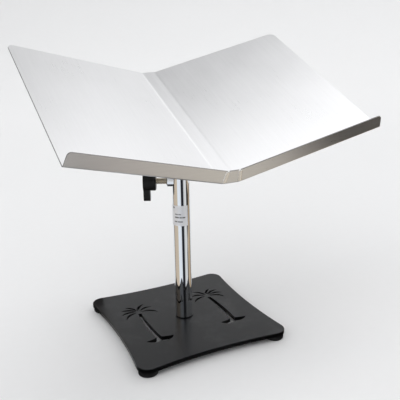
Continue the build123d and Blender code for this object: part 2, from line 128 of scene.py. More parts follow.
def shell(name, grids, cuts=(), crease=CREASE):
    """One closed object from point grids (rows, columns, 3): joined, turned out, shaded smooth.

    The cuts are grids too: their faces get a 1 in the attribute cut_edge, the others a 0.
    """
    sheared = np.repeat([0.0] * len(grids) + [1.0] * len(cuts),
                        [(g.shape[0] - 1) * (g.shape[1] - 1) for g in (*grids, *cuts)])
    grids = [*grids, *cuts]
    points = np.concatenate([g.reshape(-1, 3) for g in grids])
    firsts = np.cumsum([0] + [g.shape[0] * g.shape[1] for g in grids])
    faces = np.concatenate([quads(*g.shape[:2], first) for g, first in zip(grids, firsts)])
    mesh = bpy.data.meshes.new(name)
    mesh.vertices.add(len(points))
    mesh.vertices.foreach_set("co", points.ravel())
    mesh.loops.add(faces.size)
    mesh.loops.foreach_set("vertex_index", faces.ravel())
    mesh.polygons.add(len(faces))
    mesh.polygons.foreach_set("loop_start", np.arange(0, faces.size, 4))
    mesh.update(calc_edges=True)
    mesh.attributes.new("cut_edge", "FLOAT", "FACE").data.foreach_set("value", sheared)
    work = bmesh.new()
    work.from_mesh(mesh)
    bmesh.ops.remove_doubles(work, verts=work.verts, dist=SAME_POINT)
    bmesh.ops.dissolve_degenerate(work, edges=work.edges, dist=SAME_POINT)
    bmesh.ops.recalc_face_normals(work, faces=work.faces)
    open_edges = sum(not edge.is_manifold for edge in work.edges)
    work.to_mesh(mesh)
    work.free()
    mesh.shade_smooth()
    mesh.set_sharp_from_angle(angle=crease)
    piece = bpy.data.objects.new(name, mesh)
    bpy.context.scene.collection.objects.link(piece)
    print(f"{name}: {len(mesh.polygons)} faces, {open_edges} open edges")
    return piece


print("points closer than this are one, mm:", SAME_POINT / MM)

# %% [markdown]
# ## The folded tray
#
# The tray is one sheet, 1.2 mm thick. A press folds it along two lines, which leaves a flat
# strip in the middle and two wings that rise by 15.9 degrees, and turns up a lip along the
# lower edge. The press never makes a knife-sharp fold: each one is a slim roll, and that
# roll is what catches a line of light. The CAD's folds are sharp, so we make the sheet again
# with a 14 mm roll, in the same place and to the same outer sizes.
#
# We describe the sheet by how it would lie before folding. `run` is the distance across it
# from the middle, `rise` the height above its back face, and `climb` the distance up from
# the lip. One function rolls those three numbers into place.

# %% Sizes of the sheet
X_WAY = np.array([1.0, 0.0, 0.0])
Y_WAY = np.array([0.0, 1.0, 0.0])
TILT = np.radians(22.7)  # how far the tray leans back from level
WING_RISE = np.radians(15.9)
SHEET = 1.2  # the sheet's thickness, and every size below it, is in mm
DEPTH = 239.0
LIP = 16.7
BEND = 1.2  # inner radius of the bend between the flat and the lip
FOLD_ROLL = 14.0  # inner radius of the two long folds
HALF_SPINE = 9.3  # from the middle to where a sharp fold would be
WING = 173.0  # from there to the wing's outer edge
HINGE_FROM_LIP = 131.0
BACK_FROM_HINGE = 15.5
SEAM = 0.4  # gap in the slit lip
TOP_CORNER = 9.0
LIP_CORNER = 4.0

back_roll = FOLD_ROLL + SHEET
half_turn = np.tan(WING_RISE / 2)
flat_end = HALF_SPINE - back_roll * half_turn
roll_run = back_roll * WING_RISE
wing_start = flat_end + roll_run
wing_end = wing_start + WING - back_roll * half_turn
hinge = np.array(joints["tray_tilt"]["pos_m"])
tray_up = np.array([0.0, np.cos(TILT), np.sin(TILT)])
tray_out = np.array([0.0, -np.sin(TILT), np.cos(TILT)])
print("flat pattern across, mm:", round(2 * wing_end, 1))


# %% Roll the flat pattern into place
def from_hinge(across, out, up):
    """Points in metres: the hinge plus three distances in mm along the tray's own ways."""
    across, out, up = np.broadcast_arrays(across, out, up)
    return hinge + (across[..., None] * X_WAY + out[..., None] * tray_out + up[..., None] * tray_up) * MM


def rolled(run, rise, climb):
    """Points of the folded sheet, in metres.

    Going out from the middle, the back face is straight, then an arc of the roll's radius,
    then straight again at the wing's angle. A point stands off it by rise, square to it.
    """
    away = np.abs(run)
    angle = np.clip((away - flat_end) / back_roll, 0.0, WING_RISE)
    past = np.maximum(away - wing_start, 0.0)
    across = np.minimum(away, flat_end) + back_roll * np.sin(angle) + past * np.cos(WING_RISE)
    out = back_roll * (1 - np.cos(angle)) + past * np.sin(WING_RISE)
    across = np.sign(run) * (across - rise * np.sin(angle))
    out = BACK_FROM_HINGE + out + rise * np.cos(angle)
    up = climb - HINGE_FROM_LIP
    return from_hinge(across, out, up)


print("middle of the back at the lip, m:", rolled(0.0, 0.0, 0.0).round(4))

# %% [markdown]
# Seen from its side the sheet is an L: a long flat, a small bend and the lip. We list that
# L twice, once for its back face and once for its front, as pairs of `climb` and `rise`,
# row by row from the far edge to the top of the lip. The rows crowd together where the
# outline turns a corner.

# %% The sheet's side view, row by row
quarter = np.linspace(0.0, np.pi / 2, 9)
far_turn = DEPTH - TOP_CORNER + TOP_CORNER * np.sin(quarter[::-1])
flat_rows = np.linspace(DEPTH - TOP_CORNER, SHEET + BEND, 26)[1:-1]
lip_rows = np.linspace(SHEET + BEND, LIP - LIP_CORNER, 6)[1:]
lip_turn = LIP - LIP_CORNER + LIP_CORNER * np.sin(quarter[1:])
flat_climb = np.concatenate([far_turn, flat_rows])
lip_rise = np.concatenate([lip_rows, lip_turn])


def side_view(thickness, radius):
    """climb and rise of one face: along the flat, round the bend, and up the lip."""
    centre = SHEET + BEND
    climb = [flat_climb, centre - radius * np.sin(quarter), np.full_like(lip_rise, centre - radius)]
    rise = [np.full_like(flat_climb, thickness), centre - radius * np.cos(quarter), lip_rise]
    return np.concatenate(climb)[:, None], np.concatenate(rise)[:, None]


back_climb, back_rise = side_view(0.0, SHEET + BEND)
front_climb, front_rise = side_view(SHEET, BEND)
lip_from = len(flat_climb) + len(quarter) - 1
print("rows:", len(back_climb), "of which the lip has", len(back_climb) - lip_from)

# %% [markdown]
# The wings end in rounded corners, so the outer edge moves in where a row passes one. The
# lip can't roll with the sheet: it would crumple at each fold. It is slit there, and each
# part of it ends just short of the plane that halves the fold.

# %% Where each row of the sheet begins and ends
def outer_edge(climb, rise):
    """How far out a wing reaches: less by 1 - cosine where the row passes a round corner."""
    top = np.clip(climb - (DEPTH - TOP_CORNER), 0.0, TOP_CORNER)
    lip = np.clip(rise - (LIP - LIP_CORNER), 0.0, LIP_CORNER)
    return (wing_end - (TOP_CORNER - np.sqrt(TOP_CORNER**2 - top**2))
            - (LIP_CORNER - np.sqrt(LIP_CORNER**2 - lip**2)))


def slit(rise):
    """How far from the fold's corner the lip must stop, so as to leave half of the seam."""
    return rise * half_turn + SEAM / 2 / np.cos(WING_RISE / 2)


def wing_runs(climb, rise, share):
    """Runs of a wing's columns, spread evenly from the fold, or the slit, to the outer edge."""
    start = wing_start + np.maximum(slit(rise) - back_roll * half_turn, 0.0) * (rise > SHEET + BEND)
    return start + share * (outer_edge(climb, rise) - start)


def spine_runs(rise, share):
    """Runs of the middle strip's columns, drawn in where the lip is slit."""
    reach = np.where(rise > SHEET + BEND, np.minimum(flat_end, HALF_SPINE - slit(rise)), flat_end)
    return share * reach


print("slit's half width at the lip's top, mm:", round(slit(LIP), 2))

# %% [markdown]
# Now the sheet's skin. Below the lip the columns run unbroken from edge to edge; in the lip
# there are three separate parts. Narrow strips close the edges all round.

# %% The grids of one face
wing_share = np.linspace(0.0, 1.0, 22)
fold_runs = flat_end + roll_run * np.linspace(0.0, 1.0, 9)
spine_share = np.linspace(-1.0, 1.0, 9)


def face_grids(climb, rise):
    """The grids of one face: the unbroken part, then the left, middle and right lips."""
    whole = slice(0, lip_from + 1)
    lip = slice(lip_from, None)
    columns = np.ones_like(climb[whole])
    wing = wing_runs(climb[whole], rise[whole], wing_share)
    fold = fold_runs * columns
    spine = spine_runs(0 * columns, spine_share)
    runs = np.hstack([-wing[:, ::-1], -fold[:, ::-1][:, 1:], spine[:, 1:], fold[:, 1:], wing[:, 1:]])
    lip_wing = wing_runs(climb[lip], rise[lip], wing_share)
    lip_spine = spine_runs(rise[lip], spine_share)
    lips = [rolled(part, rise[lip], climb[lip]) for part in (-lip_wing[:, ::-1], lip_spine, lip_wing)]
    return [rolled(runs, rise[whole], climb[whole])] + lips


backs = face_grids(back_climb, back_rise)
fronts = face_grids(front_climb, front_rise)
print("rows and columns of the unbroken part:", fronts[0].shape[:2])


# %% Close the edges and make the tray
def joined(line, other):
    """A strip of faces between two lines of points."""
    return np.stack([line, other])


strips = [joined(backs[0][0], fronts[0][0])]
for back, front in zip(backs, fronts):
    strips += [joined(back[:, 0], front[:, 0]), joined(back[:, -1], front[:, -1])]
for back, front in zip(backs[1:], fronts[1:]):
    strips.append(joined(back[-1], front[-1]))
left_fold = slice(len(wing_share) - 1, len(wing_share) + len(fold_runs) - 1)
right_fold = slice(len(wing_share) + len(fold_runs) + len(spine_share) - 3, -len(wing_share) + 1)
for fold in (left_fold, right_fold):
    strips.append(joined(backs[0][-1, fold], fronts[0][-1, fold]))
tray = shell("tray_folded_sheet", backs + fronts, strips)
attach(tray, "tray")
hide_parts("tray_sheet")
low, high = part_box("tray_sheet")
points = np.array([v.co for v in tray.data.vertices])
print("tray's low corner less the CAD's, mm:", np.round((points.min(0) - low) / MM, 2))
print("tray's high corner less the CAD's, mm:", np.round((points.max(0) - high) / MM, 2))

# %% [markdown]
# ## Welded corners of the lip
#
# Where the lip is slit, the maker closes the gap with a short weld and grinds it smooth, so
# each corner shows as bright and dark upright lines. A weld is a low double ridge with faint
# ripples, one for each touch of the torch. We make it as rings of points stacked along the
# slit, and the first and last few shrink to close the ends.

# %% Make the two welds
WELD_HALF_WIDTH = 2.6
WELD_OUTSIDE = 0.75
WELD_INSIDE = 0.15
WELD_FOOT = SHEET + 0.4
WELD_HEIGHT = LIP - SHEET - 0.2
RIPPLES, RIPPLE_DEPTH = 9, 0.01
VALLEY_DEPTH, VALLEY_WIDTH = 0.6, 0.35
WELD_RINGS, WELD_AROUND, WELD_END = 96, 49, 16
WELD_CREASE = np.radians(60)


def weld_bead(name, side):
    """Rings along the slit. Round a ring, the width is a cosine and the thickness a sine.

    The outer side of each ring has a valley down its middle, a bell curve taken away from
    the thickness, because the torch passed twice. A sine along the bead makes its ripples.
    A taper closes its ends: the root of 1 less a high power of the distance from the middle.
    """
    along = np.linspace(0.0, 1.0, WELD_RINGS)[:, None]
    round_angle = np.linspace(0.0, 2 * np.pi, WELD_AROUND)[None, :]
    taper = np.sqrt(np.clip(1 - (2 * along - 1) ** WELD_END, 0.0, 1.0))
    ripple = 1 + RIPPLE_DEPTH * np.sin(2 * np.pi * along * RIPPLES)
    wide = WELD_HALF_WIDTH * taper * np.cos(round_angle)
    valley = 1 - VALLEY_DEPTH * np.exp(-(np.cos(round_angle) / VALLEY_WIDTH) ** 2)
    bulge = np.where(np.sin(round_angle) > 0, WELD_OUTSIDE * valley * ripple, WELD_INSIDE)
    deep = -taper * np.sin(round_angle) * (SHEET / 2 + bulge)
    height = WELD_FOOT + along * WELD_HEIGHT
    across = side * (HALF_SPINE - height * half_turn + wide)
    rings = from_hinge(across, BACK_FROM_HINGE + height, SHEET / 2 + deep - HINGE_FROM_LIP)
    bead = shell(name, [rings], crease=WELD_CREASE)
    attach(bead, "tray")
    return bead


beads = [weld_bead("lip_weld_left", -1), weld_bead("lip_weld_right", 1)]

# %% [markdown]
# ## Screw threads
#
# A thread is a cylinder whose radius follows a zigzag that climbs one pitch in each turn.
# With the angle and the distance along the rod as the two parameters, that is a single
# formula. The crests fade out over the last turn, as on a screw that is chamfered before
# its thread is cut.

# %% A threaded rod
ROWS_A_TURN = 8


def threaded_rod(start, direction, length, radius, pitch, depth, around):
    """Points of a rod: radius less depth times a zigzag of (distance / pitch - angle / turn)."""
    steps = int(length / pitch * ROWS_A_TURN)
    distance = np.linspace(0.0, length, steps)[:, None]
    angle = np.linspace(0.0, 2 * np.pi, around + 1)[None, :]
    phase = (distance / pitch - angle / (2 * np.pi)) % 1.0
    zigzag = np.abs(2 * phase - 1)
    from_end = np.minimum(distance, length - distance)
    lead = np.clip(1 - from_end / pitch, 0.0, 1.0)
    size = radius - depth * np.maximum(zigzag, lead)
    size[:, -1] = size[:, 0]
    direction = np.array(direction) / np.linalg.norm(direction)
    first = np.cross(direction, X_WAY)
    if np.linalg.norm(first) < 0.5:
        first = np.cross(direction, Y_WAY)
    first /= np.linalg.norm(first)
    second = np.cross(direction, first)
    ring = np.cos(angle)[..., None] * first + np.sin(angle)[..., None] * second
    side = np.array(start) + distance[..., None] * direction + size[..., None] * ring
    ends = [(line, line[:-1].mean(0)) for line in (side[0], side[-1])]
    return [side] + [np.stack([line, np.broadcast_to(middle, line.shape)]) for line, middle in ends]


print("rows to each turn of a thread:", ROWS_A_TURN)

# %% [markdown]
# The clamp screw is an M8 screw seen between the boss and the knob. The four M4 studs are
# welded to the tray's back. Both are plain bars in the CAD, so threaded ones stand for them.
# The sizes are those of the standard coarse threads: radius, pitch and depth.

# %% Make the clamp screw's thread
M8 = (4.0 * MM, 1.25 * MM, 0.6 * MM)
M4 = (2.0 * MM, 0.7 * MM, 0.33 * MM)
THREAD_CREASE = np.radians(80)
clamp_axis = np.array(joints["clamp_turn"]["axis"])
clamp_at = np.array(joints["clamp_turn"]["pos_m"])
SCREW_FROM, SCREW_TO = 13.7, 41.5
screw_grids = threaded_rod(
    clamp_at + clamp_axis * SCREW_FROM * MM, clamp_axis, (SCREW_TO - SCREW_FROM) * MM, *M8, around=28)
screw = shell("clamp_screw_thread", screw_grids, crease=THREAD_CREASE)
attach(screw, "clamp")
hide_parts("clamp_screw")

# %% Make the studs' threads
STUD_PLACES = (-46.0, -26.0, 26.0, 46.0)
STUD_LENGTH = 8.5
stud_grids = []
for climb in STUD_PLACES:
    foot = hinge + (tray_out * BACK_FROM_HINGE + tray_up * climb) * MM
    stud_grids += threaded_rod(foot, -tray_out, STUD_LENGTH * MM, *M4, around=20)
studs = shell("tray_stud_threads", stud_grids, crease=THREAD_CREASE)
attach(studs, "tray")
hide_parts("tray_studs")

# %% [markdown]
# ## Writing shaders as sums
#
# A material is a small graph of nodes. Wiring it by hand takes many lines, so we wrap a
# socket in a class that overloads Python's operators: `1 - mask * 0.3` then adds its own
# Math nodes. Colours don't pass through a Math node, which would turn them grey: they go
# through `mix`. Every other node comes from one method, `node`.

# %% Sockets that can be added and multiplied
class Signal:
    """A number that varies over a surface, held by the socket that gives it."""

    def __init__(self, socket):
        self.socket = socket

    def math(self, operation, other, swap=False):
        """One Math node of this number and another."""
        made = self.socket.id_data.nodes.new("ShaderNodeMath")
        made.operation = operation
        for place, value in zip((1, 0) if swap else (0, 1), (self, other)):
            feed(made.inputs[place], value)
        return Signal(made.outputs[0])

    def __add__(self, other):
        return self.math("ADD", other)

    def __sub__(self, other):
        return self.math("SUBTRACT", other)

    def __rsub__(self, other):
        return self.math("SUBTRACT", other, swap=True)

    def __mul__(self, other):
        return self.math("MULTIPLY", other)

    __radd__ = __add__
    __rmul__ = __mul__


def feed(socket, value):
    """Links a signal to a socket, or sets the socket to a plain value."""
    if isinstance(value, Signal):
        socket.id_data.links.new(value.socket, socket)
    else:
        socket.default_value = value


def opaque(colour):
    """A colour socket's value: a signal as it is, or three numbers and a full alpha."""
    return colour if isinstance(colour, Signal) else (*colour, 1.0)


print("operators:", [name for name in vars(Signal) if name.endswith(("add__", "sub__", "mul__"))])


# %% A graph that makes every kind of node
class Graph:
    """A node tree and the few kinds of node that this lesson needs."""

    def __init__(self, tree):
        self.tree = tree

    def node(self, kind, settings=None, inputs=None, output=0):
        """Any node: its settings are set first, then its sockets; one output comes back."""
        made = self.tree.nodes.new(kind)
        for key, value in (settings or {}).items():
            if key == "stops":
                ramp = made.color_ramp.elements
                while len(ramp) < len(value):
                    ramp.new(1.0)
                for stop, (at, colour) in zip(ramp, value):
                    stop.position, stop.color = at, opaque(colour)
            else:
                setattr(made, key, value)
        for key, value in (inputs or {}).items():
            feed(made.inputs[key], value)
        return Signal(made.outputs[output])

    def place(self, stretch=(1.0, 1.0, 1.0), turn=(0.0, 0.0, 0.0)):
        """Object coordinates in metres, turned and then stretched."""
        spot = self.node("ShaderNodeTexCoord", output=3)
        turned = self.node(
            "ShaderNodeMapping", {"vector_type": "TEXTURE"}, {"Vector": spot, "Rotation": turn})
        return self.node("ShaderNodeVectorMath", {"operation": "MULTIPLY"}, {0: turned, 1: stretch})

    def part(self, vector, axis):
        """One of a vector's three numbers: axis 0 is x, 1 is y and 2 is z."""
        return self.node("ShaderNodeSeparateXYZ", {}, {"Vector": vector}, output=axis)

    def along(self, vector, direction):
        """How far a vector reaches along a direction: their dot product."""
        return self.node(
            "ShaderNodeVectorMath", {"operation": "DOT_PRODUCT"}, {0: vector, 1: direction}, output=1)

    def noise(self, spot, scale, detail, roughness):
        """Soft noise from 0 to 1; scale is in cells to the metre, detail in layers of finer cells."""
        return self.node("ShaderNodeTexNoise", {}, {
            "Vector": spot, "Scale": scale, "Detail": detail, "Roughness": roughness})

    def between(self, value, low, high):
        """A smooth ramp: 0 where the value is at low, 1 where it is at high."""
        return self.node("ShaderNodeMapRange", {"interpolation_type": "SMOOTHSTEP"}, {
            "Value": value, "From Min": low, "From Max": high})

    def mix(self, share, one, other):
        """Colour one where share is 0, colour other where it is 1."""
        return self.node("ShaderNodeMix", {"data_type": "RGBA"}, {
            0: share, 6: opaque(one), 7: opaque(other)}, output=2)


print("a graph makes:", [name for name in vars(Graph) if not name.startswith("_")])


# %% A material being mixed
class Finish(Graph):
    """A material being mixed: a Principled shader and the nodes that feed it."""

    def __init__(self, name):
        self.material = bpy.data.materials.new(name)
        self.material.use_nodes = True
        super().__init__(self.material.node_tree)
        self.shader = next(n for n in self.tree.nodes if n.type == "BSDF_PRINCIPLED")

    def bump(self, height, depth):
        """A normal tipped by a height that varies by depth metres."""
        return self.node("ShaderNodeBump", {}, {"Height": height, "Distance": depth, "Strength": 1.0})

    def coat(self, **sockets):
        """Sets the shader's own sockets and gives the finished material."""
        for key, value in sockets.items():
            socket = self.shader.inputs[key.replace("_", " ")]
            feed(socket, opaque(value) if socket.type == "RGBA" else value)
        return self.material


def shaded(colour, share):
    """A colour made darker or lighter: each number times share, and at most 1."""
    return tuple(min(1.0, part * share) for part in colour)


print("a lighter grey:", shaded((0.5, 0.5, 0.5), 1.2))

# %% [markdown]
# ## Brushed stainless steel
#
# A belt rubs the tray along its depth and the lip along its length. That leaves fine
# parallel scratches, some longer and deeper than others. We turn the coordinates so that one
# axis runs up the tray, and squeeze the noise along it: cells nearly 30 times longer than
# wide look like scratches. A mask, 1 where the surface faces down the tray, swaps them for
# scratches that run along the lip. They change the height, the gloss and, faintly, the
# colour. Wide soft patches are where hands have dulled the steel. The sheared edges are
# rougher than the faces, and they are painted a darker grey as painted shade.

# %% Mix the brushed steel
SCRATCH_SQUEEZE = 0.035
SCRATCH_DEPTH = 0.00003
SHEARED_EDGE_SHADE = (0.16, 0.155, 0.15)


def brushed_steel(name, colour, gloss):
    """Steel with long scratches up the tray and along the lip, over broad cloudy patches."""
    steel = Finish(name)
    normal = steel.node("ShaderNodeTexCoord", output=1)
    on_lip = steel.between(steel.along(normal, tuple(-tray_up)), 0.5, 0.9)
    fine, coarse = [], []
    for stretch in ((1.0, SCRATCH_SQUEEZE, 1.0), (SCRATCH_SQUEEZE, 1.0, 1.0)):
        grain = steel.place(stretch, (TILT, 0.0, 0.0))
        fine.append(steel.noise(grain, 2600.0, detail=3.0, roughness=0.6))
        coarse.append(steel.noise(grain, 420.0, detail=2.0, roughness=0.5))
    fine = fine[0] + (fine[1] - fine[0]) * on_lip
    coarse = coarse[0] + (coarse[1] - coarse[0]) * on_lip
    clouds = steel.noise(steel.place(), 14.0, detail=3.0, roughness=0.55)
    streak = fine * 0.5 + coarse * 0.5
    tone = steel.mix(streak * 0.6 + clouds * 0.4, shaded(colour, 0.87), shaded(colour, 1.11))
    sheared = steel.node("ShaderNodeAttribute", {"attribute_name": "cut_edge"}, output=2)
    # painted shade: the sheared edges take a darker grey than the faces; their extra roughness is real
    return steel.coat(
        Base_Color=steel.mix(sheared, tone, SHEARED_EDGE_SHADE), Metallic=1.0,
        Roughness=streak * 0.12 + clouds * 0.08 + sheared * 0.15 + (gloss - 0.10),
        Normal=steel.bump(streak, SCRATCH_DEPTH))


stainless = brushed_steel("brushed_stainless", (0.70, 0.70, 0.705), 0.30)
welded = brushed_steel("ground_weld", (0.88, 0.88, 0.86), 0.17)
print("steels:", stainless.name, "and", welded.name)

# %% [markdown]
# ## Chrome
#
# Chrome is a mirror with a cool tint. Nothing makes it look real but its small faults:
# polishing rings too fine to count and a few dull smears from fingers. A painted shadow, a
# dark and rougher line, rings the tube where it stands on the plate.

# %% Mix the chrome
# painted contact shadow round the tube's foot: its height, its fade and its dark colour
FOOT_SHADOW_HEIGHT = 0.0009
FOOT_SHADOW_FADE = 0.0010
FOOT_SHADOW = (0.02, 0.018, 0.016)
CLEAN_ROUGHNESS, SMEARS_ADD, FOOT_SHADOW_ADDS = 0.045, 0.09, 0.25


def chromed(name, shadow_line):
    """Near-mirror metal; smears raise its roughness and a painted shadow darkens the foot of the tube."""
    chrome = Finish(name)
    smears = chrome.noise(chrome.place((1.0, 1.0, 0.35)), 55.0, detail=3.0, roughness=0.6)
    rings = chrome.noise(chrome.place((0.08, 0.08, 1.0)), 1500.0, detail=2.0, roughness=0.5)
    height = chrome.part(chrome.place(), 2)
    # painted shadow: 1 in a dark band just above the plate, fading out upwards
    foot_shadow = 1 - chrome.between(height, shadow_line, shadow_line + FOOT_SHADOW_FADE)
    tone = chrome.mix(foot_shadow, (0.83, 0.85, 0.87), FOOT_SHADOW)
    rough = chrome.between(smears, 0.52, 0.75) * SMEARS_ADD + CLEAN_ROUGHNESS + foot_shadow * FOOT_SHADOW_ADDS
    return chrome.coat(Base_Color=tone, Metallic=1.0, Roughness=rough, Normal=chrome.bump(rings, 0.0000015))


plate_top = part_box("base_plate")[1][2]
chrome = chromed("polished_chrome", plate_top + FOOT_SHADOW_HEIGHT)
# how high the painted foot shadow reaches above the floor
print("grime ends above the floor by mm:", round((plate_top + FOOT_SHADOW_HEIGHT + FOOT_SHADOW_FADE) / MM, 2))

# %% [markdown]
# ## Powder coat
#
# The plate and the tilt head are powder coated: plastic dust is baked on until it flows,
# which leaves a satin skin with a faint orange-peel. Their sides are painted darker than
# their tops as painted shade, nearly black on the plate's cut edges, where the light falls
# away. The mask for that is the upright part of the piece's own normal: 1 on a flat top, 0
# on the sides, and it stays with the piece when the head tilts. A little dust lies on what faces up.

# %% Mix the powder coats
DUST = (0.16, 0.16, 0.165)


def powder_coat(name, top, side, gloss, peel, shine=0.3):
    """Satin paint: fine grain over orange-peel, with painted shade that darkens where the surface stands
    upright.
    """
    paint = Finish(name)
    spot = paint.place()
    grain = paint.noise(spot, 2200.0, detail=2.0, roughness=0.6)
    orange = paint.noise(spot, 480.0, detail=2.0, roughness=0.5)
    dust = paint.noise(spot, 26.0, detail=4.0, roughness=0.62)
    facing = paint.node("ShaderNodeTexCoord", output=1)
    level = paint.between(paint.part(facing, 2), 0.3, 0.95)
    # painted shade: the side colour darkens what stands upright, the top colour is the paint on flat tops
    tone = paint.mix(level, side, top)
    dusty = paint.mix(paint.between(dust, 0.48, 0.78) * level * 0.12, tone, DUST)
    return paint.coat(
        Base_Color=dusty, Roughness=grain * 0.08 + dust * 0.08 + (gloss - 0.08), Specular_IOR_Level=shine,
        Normal=paint.bump(grain * 0.35 + orange * 0.65, peel))


# the side colours below are painted shade, darker than each top colour
plate_paint = powder_coat(
    "plate_powder_coat", top=(0.0075, 0.0077, 0.0088), side=(0.001, 0.001, 0.001), gloss=0.31,
    peel=0.000015, shine=0.26)
head_paint = powder_coat(
    "head_powder_coat", top=(0.022, 0.022, 0.024), side=(0.014, 0.014, 0.015), gloss=0.38, peel=0.00002)
print("powder coats:", plate_paint.name, "and", head_paint.name)

# %% [markdown]
# ## Rubber, moulded plastics and plated steel
#
# The small parts share two recipes. A moulded part is one colour with a fine spark-eroded
# grain and a slow change of gloss. A plated part is metal whose tint drifts between warm and
# cool, as thin zinc does.

# %% Mix the finishes of the small parts
def moulded(name, colour, gloss, grain_size, grain_depth, mottle=0.15, shine=0.5):
    """One colour, made a little uneven, with a pebbled grain of the given size in metres."""
    stuff = Finish(name)
    spot = stuff.place()
    pebbles = stuff.noise(spot, 1 / grain_size, detail=2.0, roughness=0.55)
    slow = stuff.noise(spot, 60.0, detail=3.0, roughness=0.6)
    tone = stuff.mix(slow, shaded(colour, 1 - mottle), shaded(colour, 1 + mottle))
    return stuff.coat(
        Base_Color=tone, Roughness=slow * 0.14 + (gloss - 0.07), Specular_IOR_Level=shine,
        Normal=stuff.bump(pebbles, grain_depth))


def plated(name, cool, warm, gloss):
    """Metal with a tint that drifts between two colours and a light all-over grain."""
    metal = Finish(name)
    spot = metal.place()
    drift = metal.noise(spot, 240.0, detail=2.0, roughness=0.5)
    grain = metal.noise(spot, 3800.0, detail=2.0, roughness=0.6)
    return metal.coat(
        Base_Color=metal.mix(metal.between(drift, 0.3, 0.7), cool, warm), Metallic=1.0,
        Roughness=grain * 0.12 + (gloss - 0.06), Normal=metal.bump(grain, 0.000006))


rubber = moulded("foot_rubber", (0.006, 0.006, 0.006), 0.62, 0.0007, 0.00006, shine=0.25)
knob_plastic = moulded("knob_plastic", (0.003, 0.003, 0.003), 0.44, 0.0005, 0.00002, shine=0.22)
black_nylon = moulded("black_nylon", (0.02, 0.02, 0.021), 0.42, 0.0006, 0.00001)
natural_nylon = moulded("natural_nylon", (0.78, 0.75, 0.68), 0.45, 0.0006, 0.00001, mottle=0.04)
foam_tape = moulded("foam_tape", (0.72, 0.72, 0.70), 0.8, 0.0004, 0.00006, mottle=0.08)
zinc = plated("yellow_zinc", (0.50, 0.46, 0.39), (0.58, 0.51, 0.39), 0.24)
plain_steel = plated("turned_steel", (0.52, 0.52, 0.53), (0.57, 0.55, 0.52), 0.30)
small_finishes = (rubber, knob_plastic, black_nylon, natural_nylon, foam_tape, zinc, plain_steel)
print("finishes of the small parts:", len(small_finishes))

# %% [markdown]
# ## Silver label
#
# The label is metallised paper with plain grey rules where a real one has print. It wraps
# the tube, so a place on it is an angle and a height. Each rule is a product of two soft
# windows, one in height and one in angle.

# %% Mix the label
RULE_GREY = (0.06, 0.06, 0.065)
RULE_BLUR = 0.0002
RULE_BLUR_ROUND = 0.02


def window(finish, value, low, high, edge):
    """1 between low and high, 0 outside, with soft edges."""
    begun = finish.between(value, low - edge, low + edge)
    return begun * (1 - finish.between(value, high - edge, high + edge))


def silver_label(name, foot, rules):
    """Silver paper with grey rules, each given by its height, thickness, and first and last angle."""
    label = Finish(name)
    spot = label.place()
    x, y, z = [label.part(spot, axis) for axis in range(3)]
    angle = y.math("ARCTAN2", x)
    bars = [
        window(label, z, foot + height, foot + height + thick, RULE_BLUR)
        * window(label, angle, first, last, RULE_BLUR_ROUND)
        for height, thick, first, last in rules]
    ink = sum(bars[1:], bars[0])
    fibre = label.noise(spot, 900.0, detail=3.0, roughness=0.6)
    paper = label.mix(fibre, (0.74, 0.75, 0.78), (0.88, 0.89, 0.92))
    return label.coat(
        Base_Color=label.mix(ink * 0.85, paper, RULE_GREY), Metallic=0.25,
        Roughness=fibre * 0.15 + 0.38, Normal=label.bump(fibre, 0.00001))


label_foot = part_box("tube_label")[0][2]
RULES = (
    (0.0048, 0.0015, -2.88, -2.50), (0.0048, 0.0015, -2.44, -1.87),
    (0.0102, 0.0017, -2.80, -2.30), (0.0102, 0.0017, -2.24, -1.98), (0.0102, 0.0017, -1.92, -1.58),
    (0.0143, 0.0013, -2.80, -2.42), (0.0143, 0.0013, -2.36, -2.05),
    (0.0222, 0.0022, -3.08, -2.84),
)
silver = silver_label("silver_label", label_foot, RULES)
print("rules on the label:", len(RULES))

# %% [markdown]
# ## Finishes for the parts
#
# The record names a finish for each part. The CAD pieces already have a slot for it, and
# the new pieces get theirs here.

# %% Give every part its finish
FINISHES = {
    "plate_paint": plate_paint, "foot_rubber": rubber, "foot_tape": foam_tape, "zinc_steel": zinc,
    "plain_steel": plain_steel, "chrome": chrome, "black_nylon": black_nylon,
    "natural_nylon": natural_nylon, "silver_label": silver, "knob_plastic": knob_plastic,
    "head_paint": head_paint, "stainless": stainless,
}
new_pieces = [(tray, stainless), (screw, zinc), (studs, plain_steel)] + [(bead, welded) for bead in beads]
for part in frame["record"]["subparts"]:
    for place in frame["nodes"][part["node"]].material_slots:
        place.material = FINISHES[part["material_slot"]]
for piece, finish in new_pieces:
    piece.data.materials.append(finish)

# %% [markdown]
# ## The studio
#
# The stand is on a round white cove: a floor that curves up into a wall, so no corner shows
# from any side. Its outline is turned about the upright axis: a straight radius, then a
# quarter of a circle, then the wall.

# %% Build the cove
COVE_FLAT, COVE_FLOOR, COVE_BEND, COVE_WALL = 1.4, 1.5, 0.7, 1.2
COVE_STEPS, FLOOR_STEPS, BEND_STEPS = 97, 12, 24


def turned(out, up):
    """A surface of revolution: each point (out, up) of an outline goes round the upright axis."""
    turn = np.linspace(0.0, 2 * np.pi, COVE_STEPS)[:, None]
    x, y, z = np.broadcast_arrays(out * np.cos(turn), out * np.sin(turn), up)
    return np.stack([x, y, z], axis=-1)


